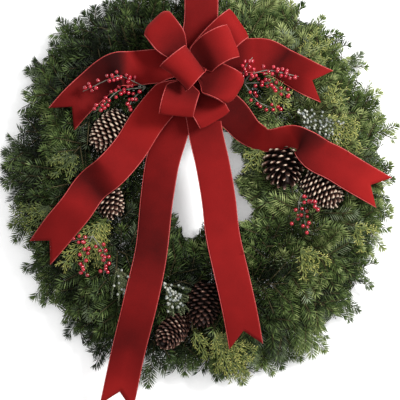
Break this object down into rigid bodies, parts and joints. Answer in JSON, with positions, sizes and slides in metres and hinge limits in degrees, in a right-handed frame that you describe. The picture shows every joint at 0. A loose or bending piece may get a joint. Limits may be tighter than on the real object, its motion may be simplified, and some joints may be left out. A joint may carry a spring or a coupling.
{
  "type": "fresh evergreen wreath",
  "caption": "Round wreath of fir, cedar and juniper sprays clamped to a wire ring, with pine cones, red berry sprays and a large ribbon bow with long tails.",
  "frame": {"origin": "middle of the bounding box in plan, at the height of the surface that the wreath's back lies on", "axes": "+X to the right and +Y to the top of the wreath as it hangs, +Z out of its front"},
  "size_m": [0.594, 0.6446, 0.1498],
  "materials": {
    "fir": "waxy green needles on brown twigs",
    "cedar": "flat yellow-green scale leaves",
    "juniper": "grey-green scale leaves with bloomed pale blue berries",
    "ribbon": "red velvet with wired edges",
    "cone": "dry brown scales with pale tips",
    "berry": "glossy red skin on thin stalks",
    "wire": "dark green enamelled wire"
  },
  "bodies": {
    "root": {"wire_ring": "wire", "bow_wire": "wire", "bow_knot": "ribbon", "fir_bunch_01": "fir", "fir_bunch_02": "fir", "fir_bunch_03": "fir", "fir_bunch_04": "fir", "fir_bunch_05": "fir", "fir_bunch_06": "fir", "fir_bunch_07": "fir", "fir_bunch_08": "fir", "fir_bunch_09": "fir", "fir_bunch_10": "fir", "fir_bunch_11": "fir", "fir_bunch_12": "fir", "ribbon_tail_upper_left": "ribbon", "ribbon_tail_lower_left": "ribbon", "ribbon_tail_long_left": "ribbon", "ribbon_tail_long_right": "ribbon", "ribbon_tail_upper_right": "ribbon", "ribbon_tail_lower_right": "ribbon", "ribbon_top_band": "ribbon", "bow_loop_upper_left": "ribbon", "bow_loop_upper_right_back": "ribbon", "bow_loop_lower_right_back": "ribbon", "bow_loop_upper_right_front": "ribbon", "bow_loop_bottom": "ribbon", "bow_loop_right": "ribbon", "bow_loop_centre": "ribbon", "pine_cone_upper_left": "cone", "pine_cone_right_inner": "cone", "pine_cone_right_outer": "cone", "pine_cone_left": "cone", "pine_cone_bottom_left": "cone", "pine_cone_bottom": "cone", "red_berries_upper_left": "berry", "red_berries_upper_right": "berry", "red_berries_right": "berry", "red_berries_lower_left": "berry", "cedar_spray_right": "cedar", "cedar_spray_upper_right": "cedar", "cedar_spray_top_right": "cedar", "cedar_spray_left": "cedar", "cedar_spray_far_left": "cedar", "cedar_spray_upper_left": "cedar", "cedar_spray_bottom": "cedar", "cedar_spray_bottom_left": "cedar", "juniper_spray_right": "juniper", "juniper_spray_bottom": "juniper", "juniper_spray_left": "juniper"}
  },
  "joints": []
}
